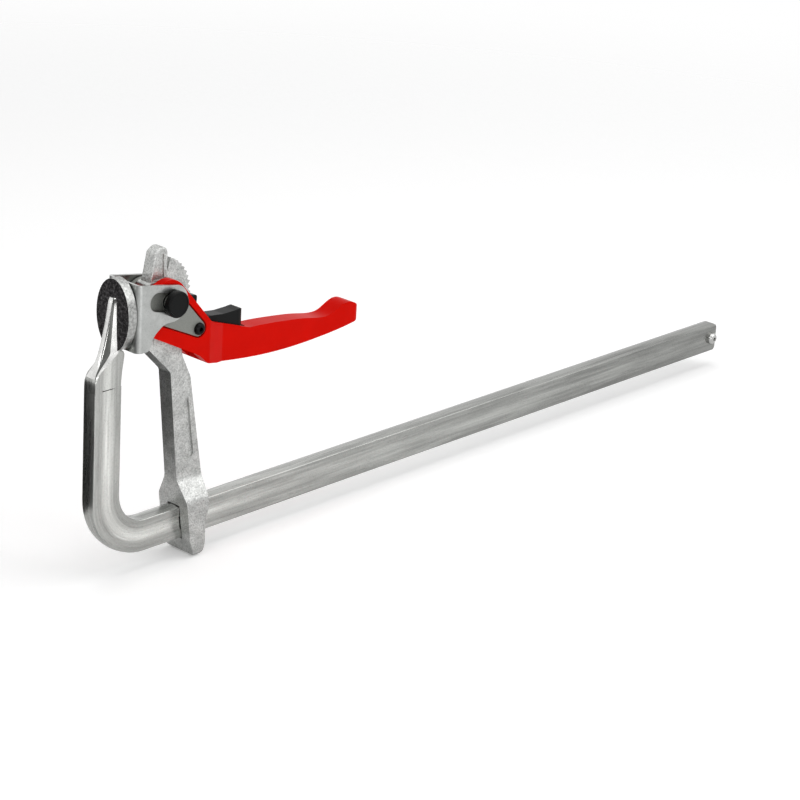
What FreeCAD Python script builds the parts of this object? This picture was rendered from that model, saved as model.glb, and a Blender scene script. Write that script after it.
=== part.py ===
# Lever bar clamp: a bent hollow-profile rail with a fixed jaw, and a sliding arm whose
# lever handle pushes a pressure bracket towards that jaw and locks on a toothed sector.
#
# Frame, in millimetres. The origin is the centre of the fixed jaw's clamping face.
# +X runs along the rail, away from the fixed jaw. +Z points from the rail up to the jaws.
# Y is across the clamp, and the plane Y = 0 is the clamp's middle plane.
import FreeCAD, Part
import math
import os

V = FreeCAD.Vector

# Rail: one bar, bent square and pinched at its top end to carry the fixed jaw
throat_depth = 125.5          # top of the rail up to the middle of the jaws
rail_height = 19.5            # wide faces, seen from the side
rail_thickness = 9.5          # across the clamp
rail_reach = 562.6            # fixed jaw's face to the end of the rail
rail_crown = 0.6              # the narrow faces bulge by this much
rail_edge = 0.7               # rounding along the bar's four edges
groove_depth = 0.45           # shallow band rolled into both wide faces
groove_share = 1.0 / 3.0      # the band's part of the wide face
groove_slope = 1.6            # width of each sloping side of the band
groove_fade = 25.0            # the band runs out over this length
plain_end = 80.0              # flat ground end of the rail
plain_relief = 0.05           # ground off each wide face there
bend_radius = 20.0            # inside of the bend
rail_end_radius = 4.0         # corners of the rail's free end
leg_lean = 22.4               # outer face of the leg, behind the jaw's face

rail_top = -throat_depth
rail_bottom = rail_top - rail_height

# Pinched neck of the rail, behind the fixed jaw
neck_start = -41.0            # height at which the leg begins to narrow
neck_back = 12.8              # neck's back face behind the jaw's face, at the jaw's lower edge
neck_front = 0.6              # neck's front face behind the jaw's face, there
rib_half_width = 2.9
rib_rounding = 1.5
rib_top = 9.5                 # height of the rib's upper end
rib_rise_low = 3.0            # how far the rib stands out of the neck, low and high
rib_rise_high = 2.2

# Fixed jaw: an oval plate welded to the neck
jaw_width = 26.5
jaw_height = 41.5
jaw_thickness = 6.7
jaw_edge = 0.8                # chamfer round the clamping face

# Sliding arm
arm_thickness = 10.0
pivot_boss = 0.25             # the head stands proud of the shank by this, on each side
jaw_gap = 0.4                 # closed jaws, as the photograph shows them
pivot_x = 25.4
pivot_z = 4.0
pivot_diameter = 8.0
head_radius = 10.3            # boss of the arm round the pivot
shank_top = -41.0             # height of the shank's upper shoulder
shank_foot = rail_top + 17.6  # height at which the shank widens into the eye
eye_width = 24.0
eye_clearance = 0.25          # between the eye and the rail, on each side
eye_bottom = rail_bottom - 11.5
eye_corner = 5.5              # rounding of the eye's lower corners
flare_foot = rail_top + 4.5   # height at which the flare reaches the eye's full width
panel_depth = 0.9             # panel cast into each side of the shank
fin_panel_depth = 0.7
fin_thickness = 8.0
fin_rounding = 1.0
fin_top = 33.4
sector_thickness = 5.0
sector_radius = 23.0          # to the tips of the teeth
tooth_count = 44              # teeth that a full circle would have
tooth_depth = 1.5
tooth_gap_angle = -14.7       # the notch that holds the pawl when the handle is closed
sector_high_notch = 10        # notches above and below that one
sector_low_notch = -3

# Pressure bracket: sheet steel bent to a U
bracket_width = jaw_width
bracket_sheet = 2.25
bracket_fold = 3.6            # outer radius of the fold
bracket_inner_fold = 1.0
bracket_bottom = -21.0
bracket_top = 18.3
bracket_top_slope = 9.6       # the top edge falls away from the jaw by this many degrees
bracket_end_radius = 11.4     # round end of each cheek, about the pivot
slot_slope = 12.0             # the slot rises towards the jaw by this many degrees
slot_travel = 11.3
slot_width = 10.7

# Pin caps
collar_diameter = 10.4        # runs in the bracket's slot
cap_diameter = 15.2
cap_length = 4.2
cap_gap = 1.2                 # cap's head to the bracket's cheek
cap_edge = 1.0
pin_inset = 1.2               # end of the pivot pin, behind the cap's outer face
ring_inset = 1.4              # middle of the ring's groove, from the pin's end
ring_groove = 1.2             # width of the retaining ring
ring_inner = 6.4
ring_outer = 9.6

# Handle
cheek_gap = 0.3               # cheek to the bracket's wall
cheek_outer = bracket_width / 2 - bracket_sheet - cheek_gap
cheek_inner = arm_thickness / 2 + 0.45
cam_base_radius = 8.8         # base circle of the involute cam
cam_clearance = 0.06          # cam to bracket
handle_notches = 8            # from closed to open, in teeth of the sector
cheek_radius = 12.2           # round top of the cheek, about the pivot
cam_lobe_outer = cheek_outer - bracket_inner_fold   # the lobe clears the bracket's fold
cam_lobe_end = 11.0           # the step, below and above the pivot
cam_lobe_end_high = 14.3
grip_half_width = 5.9
grip_waist = 5.4              # half the grip's width where it is narrowest
grip_waist_x = 150.0
grip_wide_x = 172.0
grip_end = 185.4
web_front = 56.0              # where the two cheeks join
bevel_start = 57.0            # the cheeks narrow to the grip between these two
bevel_end = 71.5
trigger_side_gap = 0.3
trigger_slot_end = 88.2       # centre of the slot's round end
trigger_slot_floor = -36.5

# Link plates in the handle's cheeks
link_thickness = 2.6
link_sunk = 0.5               # below the cheek's outer face
link_gap = 0.35               # round the plate, in its recess
link_big_radius = 11.5
link_big_offset_x = -3.3      # middle of the plate's big end, from the pivot
link_big_offset_z = -1.5
link_small_radius = 4.9
axle_x = 48.6
axle_z = -16.9

# Axle of the pawl: a threaded sleeve with a button-head screw at each end
sleeve_diameter = 6.0
axle_thread = 4.0
screw_head_diameter = 7.2
screw_head_height = 2.0
socket_width = 2.5
axle_screw_length = 8.0

# Pawl, trigger and spring
pawl_thickness = 4.8
pawl_hub_radius = 4.9
pawl_lift = 0.15              # tooth's tip to the sector's tips, trigger as the photograph shows it
running_gap = 0.05            # radial, in every hole that turns on a pin
trigger_half_width = 4.3
trigger_front = 55.8
trigger_rear = 85.4           # centre of the trigger's round rear end
trigger_top = -14.4           # height of its upper face
roll_pin_diameter = 2.0
roll_pin_x = 9.2              # roll pin behind and below the axle
roll_pin_drop = 1.4
tail_length = 12.0            # pawl's tail, which the trigger straddles
spring_wire = 0.8
spring_gap = 0.15             # coil to pawl

# End stop
stop_head_diameter = 8.2
stop_head_height = 3.4
stop_thread = 4.0
stop_inset = 5.6              # from the rail's end to the screw's middle


def at(x, z):
    return V(x, 0, z)


def rounded(corners):
    """Closed outline in the XZ plane; each corner is (x, z, radius)."""
    pieces = []
    count = len(corners)
    starts = []
    ends = []
    middles = []
    for i in range(count):
        x, z, radius = corners[i]
        here = at(x, z)
        before = at(corners[i - 1][0], corners[i - 1][1]).sub(here)
        after = at(corners[(i + 1) % count][0], corners[(i + 1) % count][1]).sub(here)
        before.normalize()
        after.normalize()
        half_angle = before.getAngle(after) / 2
        if radius <= 0 or abs(half_angle - math.pi / 2) < 1e-4:
            starts.append(here)
            ends.append(here)
            middles.append(None)
            continue
        tangent = radius / math.tan(half_angle)
        centre_way = before.add(after)
        centre_way.normalize()
        middle = here.add(centre_way * (radius / math.sin(half_angle) - radius))
        starts.append(here.add(before * tangent))
        ends.append(here.add(after * tangent))
        middles.append(middle)
    for i in range(count):
        if middles[i] is not None:
            pieces.append(Part.Arc(starts[i], middles[i], ends[i]).toShape())
        following = starts[(i + 1) % count]
        if ends[i].distanceToPoint(following) > 1e-6:
            pieces.append(Part.LineSegment(ends[i], following).toShape())
    return Part.Wire(pieces)


def slab(outline, y_low, y_high):
    """Flat piece with an XZ outline, between two heights across the clamp."""
    face = Part.Face(outline)
    face.translate(V(0, y_low, 0))
    return face.extrude(V(0, y_high - y_low, 0))


def mirrored_slab(outline, half):
    return slab(outline, -half, half)


def cross_cylinder(x, z, radius, y_low, y_high):
    """Round bar or hole across the clamp."""
    return Part.makeCylinder(radius, y_high - y_low, V(x, y_low, z), V(0, 1, 0))


def block(x_low, x_high, y_low, y_high, z_low, z_high):
    return Part.makeBox(x_high - x_low, y_high - y_low, z_high - z_low, V(x_low, y_low, z_low))


def on_both_sides(make):
    """The same shape on the near side (Y below 0) and, mirrored, on the far side."""
    near = make()
    far = near.mirror(V(0, 0, 0), V(0, 1, 0))
    return near, far


def from_pivot(radius, degrees):
    angle = math.radians(degrees)
    return pivot_x + radius * math.cos(angle), pivot_z + radius * math.sin(angle)


def write(name, shape):
    if len(shape.Solids) == 1:
        shape = shape.Solids[0]
    shape.exportStep("parts/" + name + ".step")


# Heights and places that follow from the sizes above
rail_half = rail_thickness / 2
leg_outer = -leg_lean
leg_inner = leg_outer + rail_height
bracket_front = jaw_gap
bracket_back = jaw_gap + bracket_sheet
cam_reach = pivot_x - bracket_back - cam_clearance
bracket_half = bracket_width / 2
link_outer = cheek_outer - link_sunk
link_inner = link_outer - link_thickness
pin_half = bracket_half + cap_gap + cap_length - pin_inset
ring_middle = pin_half - ring_inset
trigger_slot_half = trigger_half_width + trigger_side_gap
roll_pin_place = (axle_x + roll_pin_x, axle_z - roll_pin_drop)
tooth_pitch = 360.0 / tooth_count
handle_swing = handle_notches * tooth_pitch


def bar_section(side, depth):
    """Rail's section across the bar, its middle at height 0; depth None leaves it plain."""
    half = rail_height / 2
    inner = side - rail_edge
    upper = half - rail_edge
    cut = rail_edge * (1 - math.sqrt(0.5))
    edges = []
    for way in (1, -1):
        low_corner = V(0, way * inner, -way * half)
        side_low = V(0, way * side, -way * upper)
        side_high = V(0, way * side, way * upper)
        edges.append(Part.Arc(V(0, -way * inner, -way * half), V(0, 0, -way * (half + rail_crown)),
                              low_corner).toShape())
        edges.append(Part.Arc(low_corner, V(0, way * (side - cut), -way * (half - cut)),
                              side_low).toShape())
        edges += wide_face(side, upper, depth, way)
        edges.append(Part.Arc(side_high, V(0, way * (side - cut), way * (half - cut)),
                              V(0, way * inner, way * half)).toShape())
    return Part.Wire(edges)


def wide_face(side, upper, depth, way):
    """Wide face of the rail, with its shallow middle band."""
    half_band = rail_height * groove_share / 2
    if depth is None:
        corners = [(side, -upper), (side, upper)]
    else:
        corners = [(side, -upper), (side, -half_band - groove_slope), (side - depth, -half_band),
                   (side - depth, half_band), (side, half_band + groove_slope), (side, upper)]
    points = [V(0, way * y, way * z) for y, z in corners]
    return [Part.LineSegment(points[i], points[i + 1]).toShape() for i in range(len(points) - 1)]


def make_rail():
    middle = rail_height / 2
    turn = bend_radius + middle
    bend_x = leg_outer + middle + turn
    bar_z = rail_bottom + middle
    bend_z = bar_z + turn
    plain_x = rail_reach - plain_end
    fade_x = plain_x - groove_fade

    def section(side, depth, x):
        wire = bar_section(side, depth)
        wire.translate(V(x, 0, bar_z))
        return wire

    grooved = Part.Face(section(rail_half, groove_depth, bend_x))
    bar = grooved.extrude(V(fade_x - bend_x, 0, 0))
    fading = Part.makeLoft([section(rail_half, groove_depth, fade_x), section(rail_half, 0.0, plain_x)],
                           True, True)
    plain = Part.Face(section(rail_half - plain_relief, None, plain_x)).extrude(V(plain_end, 0, 0))
    bend = grooved.revolve(V(bend_x, 0, bend_z), V(0, 1, 0), 90)
    top_face = grooved.copy()
    top_face.rotate(V(bend_x, 0, bend_z), V(0, 1, 0), 90)
    leg = top_face.extrude(V(0, 0, neck_start - bend_z))
    bar = bar.fuse([fading, plain, bend, leg, make_neck()])
    for crown_z, inward in ((rail_bottom - rail_crown, 1), (rail_top + rail_crown, -1)):
        corner = rounded([(rail_reach, crown_z, 0),
                          (rail_reach, crown_z + inward * rail_end_radius, 0),
                          (rail_reach - rail_end_radius, crown_z, 0)])
        bite = mirrored_slab(corner, rail_thickness)
        keep = cross_cylinder(rail_reach - rail_end_radius, crown_z + inward * rail_end_radius,
                              rail_end_radius, -rail_thickness, rail_thickness)
        bar = bar.cut(bite.cut(keep))
    hole = cross_cylinder(rail_reach - stop_inset, bar_z, stop_thread / 2,
                          -rail_thickness, rail_thickness)
    return bar.cut(hole).removeSplitter()


def make_neck():
    """Pinched top of the leg, welded round the jaw's lower edge, with the rib up the jaw's back."""
    jaw_back = -jaw_thickness
    seat = -jaw_height / 2 * math.sqrt(1 - (rail_thickness / jaw_width) ** 2)

    def section(z, x_back, x_front, half, radius):
        corners = rounded([(x_back, -half, radius), (x_front, -half, 0),
                           (x_front, half, 0), (x_back, half, radius)])
        corners.rotate(V(0, 0, 0), V(1, 0, 0), 90)
        corners.translate(V(0, 0, z))
        return corners

    low = Part.makeLoft([section(neck_start, leg_outer, leg_inner, rail_half, rail_edge),
                         section(neck_start + 7.4, leg_outer + 2.2, leg_inner + 1.6, rail_half, 1.2),
                         section(seat, -neck_back, -neck_front, rail_half, 3.0)], True, True)
    high = Part.makeLoft([section(seat, -neck_back, jaw_back, rail_half, 3.0),
                          section(-8, jaw_back - 3.2, jaw_back, rib_half_width + 0.6, 1.5),
                          section(rib_top - 4, jaw_back - 1.4, jaw_back, rib_half_width, 0.6)],
                         True, True)
    rib = rounded([(leg_outer + 1.5, neck_start + 3, 2),
                   (-neck_back - rib_rise_low, seat - 1.5, 20),
                   (jaw_back - 2.6 - rib_rise_high, -5, 20),
                   (jaw_back - rib_rise_high, rib_top, 1.5),
                   (jaw_back, rib_top + 1.0, 0),
                   (jaw_back, seat, 0),
                   (-neck_back + 3, neck_start + 3, 0)])
    rib = mirrored_slab(rib, rib_half_width)
    back_edges = [e for e in rib.Edges
                  if e.BoundBox.YLength < 1e-6 and e.CenterOfMass.x < jaw_back - 1.5
                  and e.CenterOfMass.x < -neck_back - 1 + (e.CenterOfMass.z - seat) * 0.33
                  and e.CenterOfMass.z > neck_start + 3.5]
    rib = rib.makeFillet(rib_rounding, back_edges)
    return low.fuse(high).fuse(rib).cut(make_fixed_jaw())


def make_fixed_jaw():
    oval = Part.Ellipse(V(0, 0, 0), jaw_height / 2, jaw_width / 2).toShape()
    oval = Part.Wire([oval])
    oval.rotate(V(0, 0, 0), V(0, 1, 0), -90)
    face = Part.Face(oval)
    face.translate(V(-jaw_thickness, 0, 0))
    plate = face.extrude(V(jaw_thickness, 0, 0))
    front_edges = [e for e in plate.Edges if abs(e.CenterOfMass.x) < 1e-3 and e.BoundBox.YLength > 1]
    return plate.makeChamfer(jaw_edge, front_edges)


def crosswise(outline, x_low, x_high):
    """Piece whose outline lies across the clamp, between two places along the rail."""
    turned = outline.copy()
    turned.rotate(V(0, 0, 0), V(0, 0, 1), 90)
    face = Part.Face(turned)
    face.translate(V(x_low, 0, 0))
    return face.extrude(V(x_high - x_low, 0, 0))


def make_arm():
    half = arm_thickness / 2
    wide = eye_width / 2
    head_left = pivot_x - head_radius
    head_right = pivot_x + head_radius
    side = rounded([(head_left, -22.9, 3), (33.0, shank_top, 4), (39.9, shank_foot, 6),
                    (42.7, rail_top + 1.1, 10), (45.4, rail_bottom, 10), (49.4, eye_bottom, 4),
                    (55.4, eye_bottom, 3), (57.2, rail_bottom - 3, 6), (57.2, rail_top - 9, 5),
                    (59.3, rail_top - 3, 4), (59.0, shank_foot, 6), (48.3, -46.6, 10),
                    (41.8, -33.2, 8), (37.5, -16.0, 10), (head_right, pivot_z, 4),
                    (pivot_x + 5, 14.5, 4), (head_left, 14.5, 2)])
    foot = eye_bottom - 0.5
    front = rounded([(half, 20.0, 0), (half, shank_foot, 8), (wide, flare_foot, 6),
                     (wide, foot, eye_corner), (-wide, foot, eye_corner),
                     (-wide, flare_foot, 6), (-half, shank_foot, 8), (-half, 20.0, 0)])
    body = mirrored_slab(side, wide).common(crosswise(front, 0, 90))

    pad = rounded([(head_left + 2.5, pivot_z, 2), (19.6, -22.5, 1.5), (35.4, -28.0, 1.5),
                   (38.0, -19.0, 2), (head_right - 3, pivot_z, 2)])
    body = body.fuse(mirrored_slab(pad, half + pivot_boss))

    fin = rounded([(head_left - 0.2, 6, 0), (20.3, 30.8, 2.5), (24.6, fin_top, 2.5),
                   (28.4, fin_top - 0.5, 2.5), (29.6, 29.6, 2), (29.5, 6, 0)])
    fin_half = fin_thickness / 2
    fin = mirrored_slab(fin, fin_half)
    fin = fin.makeFillet(fin_rounding, [e for e in fin.Edges if e.CenterOfMass.z > 8
                                        and e.BoundBox.YLength < 1e-6])
    recess = rounded([(18.4, 15, 1), (21.8, 29.2, 1.2), (26.6, 29.8, 1.2), (26.9, 15, 1)])
    for y_low in (-fin_half, fin_half - fin_panel_depth):
        fin = fin.cut(slab(recess, y_low, y_low + fin_panel_depth))
    body = body.fuse(fin).fuse(make_sector())

    panel = rounded([(40.2, -58.0, 1), (47.2, -59.2, 1), (52.6, -95.5, 1), (45.0, -96.5, 1)])
    for y_low in (-half, half - panel_depth):
        body = body.cut(slab(panel, y_low, y_low + panel_depth))

    side_gap = rail_half + eye_clearance
    passage = block(0, 90, -side_gap, side_gap, rail_bottom - rail_crown - eye_clearance,
                    rail_top + rail_crown + eye_clearance)
    body = body.cut(passage)
    reach = half + pivot_boss
    bore = cross_cylinder(pivot_x, pivot_z, pivot_diameter / 2, -reach, reach)
    return body.cut(bore).removeSplitter()


def make_sector():
    """Toothed sector about the pivot; each notch is a V between two tips."""
    root = sector_radius - tooth_depth
    low_angle = tooth_gap_angle + (sector_low_notch - 0.5) * tooth_pitch
    points = []
    for notch in range(sector_low_notch, sector_high_notch + 1):
        middle = tooth_gap_angle + notch * tooth_pitch
        points.append(from_pivot(sector_radius, middle - tooth_pitch * 0.44))
        points.append(from_pivot(root, middle - tooth_pitch * 0.05))
        points.append(from_pivot(root, middle + tooth_pitch * 0.05))
        points.append(from_pivot(sector_radius, middle + tooth_pitch * 0.44))
    corners = [(x, z, 0) for x, z in points]
    corners.append((pivot_x, pivot_z, 0))
    return mirrored_slab(rounded(corners), sector_thickness / 2)


def make_pivot_pin():
    """Pivot pin with a groove for a retaining ring near each end."""
    pin = cross_cylinder(pivot_x, pivot_z, pivot_diameter / 2, -pin_half, pin_half)
    for middle in (-ring_middle, ring_middle):
        low = middle - ring_groove / 2
        high = middle + ring_groove / 2
        cut = cross_cylinder(pivot_x, pivot_z, pivot_diameter, low, high)
        core = cross_cylinder(pivot_x, pivot_z, ring_inner / 2, low, high)
        pin = pin.cut(cut.cut(core))
    ends = [e for e in pin.Edges if abs(abs(e.CenterOfMass.y) - pin_half) < 1e-3]
    return pin.makeChamfer(0.5, ends)


def make_pin_rings():
    """Two open retaining rings, one in each groove of the pivot pin."""
    rings = []
    for middle in (-ring_middle, ring_middle):
        low = middle - ring_groove / 2
        high = middle + ring_groove / 2
        ring = cross_cylinder(pivot_x, pivot_z, ring_outer / 2, low, high)
        ring = ring.cut(cross_cylinder(pivot_x, pivot_z, ring_inner / 2, low, high))
        mouth = block(pivot_x - ring_inner * 0.35, pivot_x + ring_inner * 0.35, low, high,
                      pivot_z - ring_outer, pivot_z)
        rings.append(ring.cut(mouth))
    return Part.makeCompound(rings)


def make_cap():
    """Near cap: a head outside the bracket, a collar in its slot, hollow for the pin."""
    collar_in = -link_outer - 0.1
    head_in = -bracket_half - cap_gap
    head_out = head_in - cap_length
    head = cross_cylinder(pivot_x, pivot_z, cap_diameter / 2, head_out, head_in)
    outer_edge = [e for e in head.Edges if abs(e.CenterOfMass.y - head_out) < 1e-3]
    head = head.makeFillet(cap_edge, outer_edge)
    collar = cross_cylinder(pivot_x, pivot_z, collar_diameter / 2, head_in, collar_in)
    cap = head.fuse(collar)
    cap = cap.cut(cross_cylinder(pivot_x, pivot_z, pivot_diameter / 2, -pin_half, 0))
    ring_space = cross_cylinder(pivot_x, pivot_z, ring_outer / 2, -ring_middle - ring_groove / 2,
                                -ring_middle + ring_groove / 2)
    return cap.cut(ring_space).removeSplitter()


def make_bracket():
    """Pressure bracket: face plate, two folds, and a slotted cheek on each side."""
    end = bracket_end_radius
    end_x = pivot_x + end
    fall = (end_x - bracket_front) * math.tan(math.radians(bracket_top_slope))
    cheek = rounded([(bracket_front, bracket_bottom, 0), (9.0, bracket_bottom, 3.5),
                     (11.5, -13.2, 12), (19.5, pivot_z - end, 8),
                     (end_x, pivot_z - end, end * 0.94),
                     (end_x, bracket_top - fall, end * 0.86),
                     (bracket_front, bracket_top, 0)])
    body = mirrored_slab(cheek, bracket_half)
    inside = block(bracket_back, pivot_x + 3 * end, -bracket_half + bracket_sheet,
                   bracket_half - bracket_sheet, bracket_bottom - 5, bracket_top + 5)
    inner_edges = [e for e in inside.Edges
                   if abs(e.CenterOfMass.x - bracket_back) < 1e-3 and e.BoundBox.ZLength > 10]
    inside = inside.makeFillet(bracket_inner_fold, inner_edges)
    body = body.cut(inside)
    fold_edges = [e for e in body.Edges
                  if abs(e.CenterOfMass.x - bracket_front) < 1e-3 and e.BoundBox.ZLength > 10]
    body = body.makeFillet(bracket_fold, fold_edges)
    way_x = -math.cos(math.radians(slot_slope))
    way_z = math.sin(math.radians(slot_slope))
    far_x = pivot_x + way_x * slot_travel
    far_z = pivot_z + way_z * slot_travel
    radius = slot_width / 2
    near_end = cross_cylinder(pivot_x, pivot_z, radius, -bracket_width, bracket_width)
    far_end = cross_cylinder(far_x, far_z, radius, -bracket_width, bracket_width)
    off_x = way_z * radius
    off_z = -way_x * radius
    middle = rounded([(pivot_x - off_x, pivot_z - off_z, 0), (pivot_x + off_x, pivot_z + off_z, 0),
                      (far_x + off_x, far_z + off_z, 0), (far_x - off_x, far_z - off_z, 0)])
    slot = near_end.fuse(far_end).fuse(mirrored_slab(middle, bracket_width))
    return body.cut(slot).removeSplitter()


def involute_point(direction):
    """Point of the cam's edge whose outward normal has this direction, in degrees."""
    angle = math.radians(direction)
    reach = cam_reach - cam_base_radius * (math.pi - angle)
    x = reach * math.cos(angle) - cam_base_radius * math.sin(angle)
    z = reach * math.sin(angle) + cam_base_radius * math.cos(angle)
    return at(pivot_x + x, pivot_z + z)


def handle_side():
    """Side view of the handle: cam, round cheek, grip and hooked tip."""
    open_direction = 180.0 - handle_swing
    steps = 8
    cam = [involute_point(open_direction + handle_swing * i / steps) for i in range(steps + 1)]
    cam_curve = Part.BSplineCurve()
    cam_curve.interpolate(cam)
    edge_angle = 42.0
    arc_start = at(*from_pivot(cheek_radius, edge_angle))
    arc_middle = at(*from_pivot(cheek_radius, 80.0))
    arc_end = at(*from_pivot(cheek_radius, 108.0))
    top = [arc_start, at(57.6, -14.0), at(63.0, -17.0), at(88.5, -25.4), at(93.6, -27.0)]
    grip_top = Part.BSplineCurve()
    grip_top.interpolate([at(93.6, -27.0), at(106.0, -27.6), at(123.0, -29.2), at(141.0, -31.6),
                          at(153.0, -33.6), at(160.0, -33.2), at(167.5, -30.0), at(174.5, -28.4)])
    tip = Part.BSplineCurve()
    tip.interpolate([at(174.5, -28.4), at(181.0, -30.4), at(185.0, -35.0), at(184.6, -39.5),
                     at(180.5, -42.0)])
    belly = Part.BSplineCurve()
    belly.interpolate([at(180.5, -42.0), at(161.0, -44.6), at(137.0, -46.2), at(112.0, -46.2),
                       at(89.0, -44.6), at(66.0, -41.8)])
    low = [at(66.0, -41.8), at(56.0, -39.0), at(49.3, -32.9), at(14.0, -14.9), at(5.6, -11.4), cam[-1]]
    edges = [Part.LineSegment(cam[0], arc_end).toShape() if cam[0].distanceToPoint(arc_end) > 1e-4
             else None]
    edges.append(Part.Arc(arc_end, arc_middle, arc_start).toShape())
    for i in range(len(top) - 1):
        edges.append(Part.LineSegment(top[i], top[i + 1]).toShape())
    edges.append(grip_top.toShape())
    edges.append(tip.toShape())
    edges.append(belly.toShape())
    for i in range(len(low) - 1):
        edges.append(Part.LineSegment(low[i], low[i + 1]).toShape())
    edges.append(cam_curve.toShape())
    edges = [e for e in edges if e is not None]
    return Part.Wire(Part.sortEdges(edges)[0])


def link_solid(grow, y_low, y_high):
    """Tear-drop plate round the pivot and the axle: two discs and their common tangents."""
    big_x = pivot_x + link_big_offset_x
    big_z = pivot_z + link_big_offset_z
    big_r = link_big_radius + grow
    small_r = link_small_radius + grow
    dx = axle_x - big_x
    dz = axle_z - big_z
    length = math.hypot(dx, dz)
    heading = math.atan2(dz, dx)
    side = math.acos((big_r - small_r) / length)
    corners = []
    for centre_x, centre_z, radius, turn in ((big_x, big_z, big_r, side), (axle_x, axle_z, small_r, side),
                                             (axle_x, axle_z, small_r, -side), (big_x, big_z, big_r, -side)):
        angle = heading + turn
        corners.append((centre_x + radius * math.cos(angle), centre_z + radius * math.sin(angle), 0))
    body = slab(rounded(corners), y_low, y_high)
    body = body.fuse(cross_cylinder(big_x, big_z, big_r, y_low, y_high))
    body = body.fuse(cross_cylinder(axle_x, axle_z, small_r, y_low, y_high))
    return body.removeSplitter()


def make_link_plate():
    plate = link_solid(0, -link_outer, -link_inner)
    bore = cross_cylinder(pivot_x, pivot_z, pivot_diameter / 2 + running_gap, -link_outer, 0)
    hole = cross_cylinder(axle_x, axle_z, axle_thread / 2, -link_outer, 0)
    return plate.cut(bore).cut(hole)


def make_handle():
    body = mirrored_slab(handle_side(), cheek_outer)
    near = [(-20, -cheek_outer, 0), (bevel_start, -cheek_outer, 6), (bevel_end, -grip_half_width, 6),
            (grip_waist_x, -grip_waist, 60), (grip_wide_x, -grip_half_width, 30),
            (grip_end, -grip_half_width, grip_half_width * 0.9)]
    far = [(x, -y, radius) for x, y, radius in reversed(near)]
    plan = rounded(near + far)
    plan.rotate(V(0, 0, 0), V(1, 0, 0), -90)
    plan.translate(V(0, 0, -80))
    body = body.common(Part.Face(plan).extrude(V(0, 0, 160)))
    body = body.cut(block(-20, web_front, -cheek_inner, cheek_inner, -80, 80))
    for low, high in ((-cheek_outer, -cam_lobe_outer), (cam_lobe_outer, cheek_outer)):
        body = body.cut(block(-20, cam_lobe_end, low, high, -80, 80))
        body = body.cut(block(-20, cam_lobe_end_high, low, high, pivot_z + 2, 80))
    for low, high in ((-cheek_outer, -link_inner), (link_inner, cheek_outer)):
        body = body.cut(link_solid(link_gap, low, high))
    slot = block(web_front - 1, trigger_slot_end, -trigger_slot_half, trigger_slot_half,
                 trigger_slot_floor, 40)
    round_end = Part.makeCylinder(trigger_slot_half, 40 - trigger_slot_floor,
                                  V(trigger_slot_end, 0, trigger_slot_floor))
    body = body.cut(slot.fuse(round_end))
    bore = cross_cylinder(pivot_x, pivot_z, pivot_diameter / 2 + running_gap, -20, 20)
    hole = cross_cylinder(axle_x, axle_z, sleeve_diameter / 2, -20, 20)
    return body.cut(bore).cut(hole).removeSplitter()


def make_sleeve():
    """Axle sleeve between the two link plates, threaded for both screws."""
    sleeve = cross_cylinder(axle_x, axle_z, sleeve_diameter / 2, -link_inner, link_inner)
    return sleeve.cut(cross_cylinder(axle_x, axle_z, axle_thread / 2, -link_inner, link_inner))


def make_axle_screw():
    head_out = -link_outer - screw_head_height
    head = cross_cylinder(axle_x, axle_z, screw_head_diameter / 2, head_out, -link_outer)
    rim = [e for e in head.Edges if abs(e.CenterOfMass.y - head_out) < 1e-3]
    head = head.makeFillet(screw_head_height * 0.7, rim)
    shank = cross_cylinder(axle_x, axle_z, axle_thread / 2, -link_outer,
                           -link_outer + axle_screw_length)
    screw = head.fuse(shank)
    socket = hexagon(axle_x, axle_z, socket_width, head_out - 1, head_out + 1.2)
    return screw.cut(socket)


def hexagon(x, z, across_flats, y_low, y_high):
    radius = across_flats / math.sqrt(3)
    corners = []
    for i in range(6):
        angle = math.radians(60 * i)
        corners.append((x + radius * math.cos(angle), z + radius * math.sin(angle), 0))
    return slab(rounded(corners), y_low, y_high)


def make_pawl():
    """Pawl: hub on the axle, and a finger whose tooth stands just clear of the sector's tips."""
    half = pawl_thickness / 2
    tip_radius = sector_radius + pawl_lift
    base_radius = tip_radius + tooth_depth
    wide = tooth_pitch * 0.36
    tooth_tip = from_pivot(tip_radius, tooth_gap_angle)
    upper = from_pivot(base_radius, tooth_gap_angle + wide)
    lower = from_pivot(base_radius, tooth_gap_angle - wide)
    finger = rounded([(axle_x - pawl_hub_radius + 0.4, axle_z, 0),
                      (lower[0] + 0.4, lower[1] - 5.0, 1), (lower[0], lower[1], 0),
                      (tooth_tip[0], tooth_tip[1], 0),
                      (upper[0], upper[1], 0), (upper[0] + 0.2, upper[1] + 1.5, 0.8),
                      (upper[0] + 4.4, upper[1] + 0.9, 1.4),
                      (axle_x + pawl_hub_radius - 0.3, axle_z + 6, 4),
                      (axle_x + pawl_hub_radius - 0.2, axle_z, 0)])
    tail_end = axle_x + tail_length
    tail = rounded([(axle_x, axle_z - 3.6, 0), (tail_end, axle_z - 4.4, 1.5),
                    (tail_end, axle_z + 1.8, 1.5), (axle_x, axle_z + 3.6, 0)])
    body = mirrored_slab(finger, half).fuse(mirrored_slab(tail, half))
    body = body.fuse(cross_cylinder(axle_x, axle_z, pawl_hub_radius, -half, half))
    bore = cross_cylinder(axle_x, axle_z, sleeve_diameter / 2 + running_gap, -half, half)
    pin_hole = cross_cylinder(*roll_pin_place, roll_pin_diameter / 2, -half, half)
    return body.cut(bore).cut(pin_hole).removeSplitter()


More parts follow.
